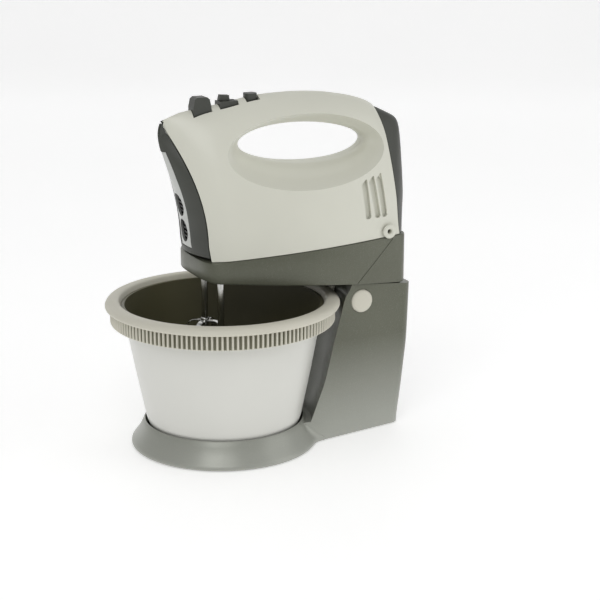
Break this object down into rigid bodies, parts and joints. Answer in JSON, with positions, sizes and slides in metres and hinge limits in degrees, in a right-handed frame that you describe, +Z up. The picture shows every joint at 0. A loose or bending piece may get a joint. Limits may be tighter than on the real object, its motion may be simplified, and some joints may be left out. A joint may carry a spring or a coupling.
{
  "type": "hand mixer on a stand",
  "caption": "Hand mixer resting on a tilting stand cradle, with twin beaters, an ejector and a turning bowl driven by its toothed rim.",
  "frame": {"origin": "on the floor under the middle of the whole object", "axes": "+Z up, -X towards the mixer's nose and the bowl, +X towards the column, -Y the user's left side with the tilt button"},
  "size_m": [0.258, 0.194, 0.2921],
  "materials": {
    "casing_cream": "moulded, fine satin grain",
    "charcoal": "moulded, satin",
    "silver": "silver lacquer",
    "stand_grey": "silver-grey pearl, satin",
    "bowl_white": "satin white outside, dark inside",
    "rim_cream": "moulded, matte",
    "black": "moulded, matte",
    "rubber": "matte",
    "steel": "turned",
    "beater_chrome": "polished",
    "iron": "laminated",
    "copper": "enamelled windings",
    "bronze": "sintered",
    "nylon": "natural",
    "board": "laminate"
  },
  "bodies": {
    "stand": {"stand_shell": "stand_grey", "base_plate": "black", "foot_pad_1": "rubber", "foot_pad_2": "rubber", "foot_pad_3": "rubber", "foot_pad_4": "rubber", "turntable_pin": "steel", "hinge_pin": "steel"},
    "bowl": {"turntable": "charcoal", "bowl": "bowl_white", "bowl_rim": "rim_cream"},
    "bowl_pinion": {"bowl_pinion": "nylon"},
    "release": {"tilt_button": "rim_cream", "latch_bar": "steel"},
    "cradle": {"cradle_shell": "stand_grey", "cradle_cover": "stand_grey", "first_idler_pin": "steel", "second_idler_pin": "steel"},
    "first_idler": {"first_idler": "nylon"},
    "second_idler": {"second_idler": "nylon"},
    "output_gear": {"output_gear": "nylon"},
    "mixer": {"casing_left": "casing_cream", "casing_right": "casing_cream", "nose_frame": "charcoal", "nose_panel": "silver", "nose_grille": "black", "rear_cover": "charcoal", "mixer_floor": "charcoal", "cord_bush": "casing_cream", "ejector_shelf": "black", "slider_plate": "charcoal", "speed_switch": "black", "turbo_switch": "black", "motor_stator": "iron", "front_bearing": "bronze", "rear_bearing": "bronze", "front_bearing_bridge": "iron", "rear_bearing_bridge": "iron", "left_brush": "steel", "right_brush": "steel", "circuit_board": "board", "left_vent_guard": "casing_cream", "right_vent_guard": "casing_cream"},
    "armature": {"armature": "copper", "commutator": "copper", "worm_shaft": "steel", "cooling_fan": "black"},
    "eject": {"eject_button": "charcoal", "ejector": "nylon", "eject_spring": "steel"},
    "speed": {"speed_slider": "charcoal"},
    "turbo": {"turbo_button": "charcoal"},
    "left_spindle": {"left_spindle": "steel", "left_worm_gear": "bronze"},
    "right_spindle": {"right_spindle": "steel", "right_worm_gear": "bronze"},
    "left_beater": {"left_beater": "beater_chrome", "drive_collar": "nylon"},
    "right_beater": {"right_beater": "beater_chrome"}
  },
  "joints": [
    {"name": "bowl_spin", "type": "hinge", "parent": "stand", "child": "bowl", "pos_m": [-0.032, 0, 0.01], "axis": [0, 0, 1], "continuous": true},
    {"name": "bowl_pinion_spin", "type": "hinge", "parent": "stand", "child": "bowl_pinion", "pos_m": [0.06894, 0, 0.11], "axis": [0, 0, 1], "continuous": true},
    {"name": "release_press", "type": "slide", "parent": "stand", "child": "release", "axis": [0, 1, 0], "range_m": [0, 0.003], "stiffness_N_per_m": 400, "springref_m": -0.001},
    {"name": "head_tilt", "type": "hinge", "parent": "stand", "child": "cradle", "pos_m": [0.1155, 0, 0.1363], "axis": [0, 1, 0], "range_deg": [0, 50]},
    {"name": "first_idler_spin", "type": "hinge", "parent": "cradle", "child": "first_idler", "pos_m": [-0.01093, -0.00705, 0.15], "axis": [0, 0, 1], "continuous": true},
    {"name": "second_idler_spin", "type": "hinge", "parent": "cradle", "child": "second_idler", "pos_m": [0.03705, -0.00847, 0.15], "axis": [0, 0, 1], "continuous": true},
    {"name": "output_gear_spin", "type": "hinge", "parent": "cradle", "child": "output_gear", "pos_m": [0.06894, 0, 0.15], "axis": [0, 0, 1], "continuous": true},
    {"name": "mixer_lift", "type": "slide", "parent": "cradle", "child": "mixer", "axis": [0, 0, 1], "range_m": [0, 0.03]},
    {"name": "armature_spin", "type": "hinge", "parent": "mixer", "child": "armature", "pos_m": [-0.032, 0, 0.196], "axis": [1, 0, 0], "continuous": true},
    {"name": "eject_press", "type": "slide", "parent": "mixer", "child": "eject", "axis": [0, 0, -1], "range_m": [0, 0.007], "stiffness_N_per_m": 500, "springref_m": -0.008, "deforming": ["eject_spring"]},
    {"name": "speed_slide", "type": "slide", "parent": "mixer", "child": "speed", "axis": [1, 0, 0], "range_m": [-0.002, 0.0065]},
    {"name": "turbo_press", "type": "slide", "parent": "mixer", "child": "turbo", "axis": [0, 0, -1], "range_m": [0, 0.002], "stiffness_N_per_m": 400, "springref_m": -0.001},
    {"name": "left_beater_spin", "type": "hinge", "parent": "mixer", "child": "left_spindle", "pos_m": [-0.041, -0.018, 0.19], "axis": [0, 0, 1], "continuous": true},
    {"name": "right_beater_spin", "type": "hinge", "parent": "mixer", "child": "right_spindle", "pos_m": [-0.041, 0.018, 0.19], "axis": [0, 0, 1], "continuous": true},
    {"name": "left_beater_eject", "type": "slide", "parent": "left_spindle", "child": "left_beater", "axis": [0, 0, -1], "range_m": [0, 0.007]},
    {"name": "right_beater_eject", "type": "slide", "parent": "right_spindle", "child": "right_beater", "axis": [0, 0, -1], "range_m": [0, 0.007]}
  ],
  "couplings": [
    {"joint": "left_beater_spin", "follows": "armature_spin", "ratio": 0.074074},
    {"joint": "right_beater_spin", "follows": "armature_spin", "ratio": -0.074074},
    {"joint": "first_idler_spin", "follows": "armature_spin", "ratio": -0.024691},
    {"joint": "second_idler_spin", "follows": "armature_spin", "ratio": 0.024691},
    {"joint": "output_gear_spin", "follows": "armature_spin", "ratio": -0.065844},
    {"joint": "bowl_pinion_spin", "follows": "armature_spin", "ratio": -0.065844},
    {"joint": "bowl_spin", "follows": "armature_spin", "ratio": 0.0064015},
    {"joint": "left_beater_eject", "follows": "eject_press", "ratio": 1},
    {"joint": "right_beater_eject", "follows": "eject_press", "ratio": 1}
  ]
}
